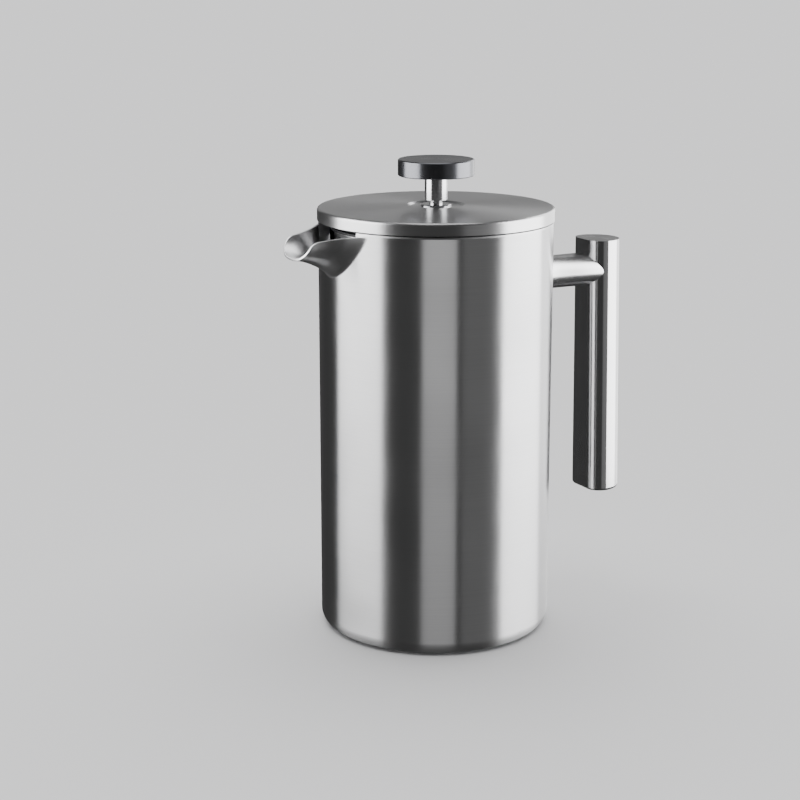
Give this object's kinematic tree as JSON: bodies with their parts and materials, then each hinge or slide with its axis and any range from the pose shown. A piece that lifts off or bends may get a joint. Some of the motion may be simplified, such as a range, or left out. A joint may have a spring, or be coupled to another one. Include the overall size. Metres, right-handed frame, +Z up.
{
  "type": "french press",
  "caption": "Double-wall brushed steel french press with a pouring spout, a bar handle on a round arm, a lift-off lid and a sliding, turning plunger with a disc knob.",
  "frame": {"origin": "centre of the beaker's flat resting face, on the beaker's axis", "axes": "+Z up along the beaker's axis, +X towards the handle, -X towards the spout"},
  "size_m": [0.1752, 0.109, 0.2199],
  "materials": {
    "brushed_steel": "fine brushed stainless steel",
    "satin_steel": "satin stainless sheet",
    "turned_steel": "turned and polished stainless steel",
    "filter_steel": "pressed stainless sheet and spring wire",
    "mesh_steel": "woven stainless mesh",
    "silicone": "dark grey silicone"
  },
  "bodies": {
    "beaker": {"outer_shell": "brushed_steel", "inner_liner": "satin_steel", "base_plate": "brushed_steel", "spout_throat": "satin_steel", "spout": "brushed_steel", "handle_arm": "brushed_steel", "arm_backing_plate": "satin_steel", "handle_grip": "brushed_steel", "grip_top_cap": "brushed_steel", "grip_bottom_cap": "brushed_steel"},
    "seal": {"lid_seal": "silicone"},
    "lid": {"lid_cover": "brushed_steel", "lid_plate": "satin_steel", "lid_collar": "satin_steel"},
    "rod_guide": {"rod_bush": "turned_steel", "bush_nut": "turned_steel"},
    "plunger": {"knob_disc": "turned_steel", "knob_stem": "turned_steel", "plunger_rod": "turned_steel", "filter_nut": "turned_steel", "support_plate": "filter_steel", "mesh_screen": "mesh_steel", "filter_plate": "filter_steel", "edge_spring": "filter_steel", "rod_nut": "turned_steel"}
  },
  "joints": [
    {"name": "lid_lift", "type": "slide", "parent": "beaker", "child": "seal", "axis": [0, 0, 1], "range_m": [0, 0.2]},
    {"name": "lid_turn", "type": "hinge", "parent": "seal", "child": "lid", "pos_m": [0, 0, 0.192], "axis": [0, 0, 1], "continuous": true},
    {"name": "plunger_turn", "type": "hinge", "parent": "lid", "child": "rod_guide", "pos_m": [0, 0, 0.198], "axis": [0, 0, 1], "continuous": true},
    {"name": "plunger_slide", "type": "slide", "parent": "rod_guide", "child": "plunger", "axis": [0, 0, 1], "range_m": [0, 0.157]}
  ]
}
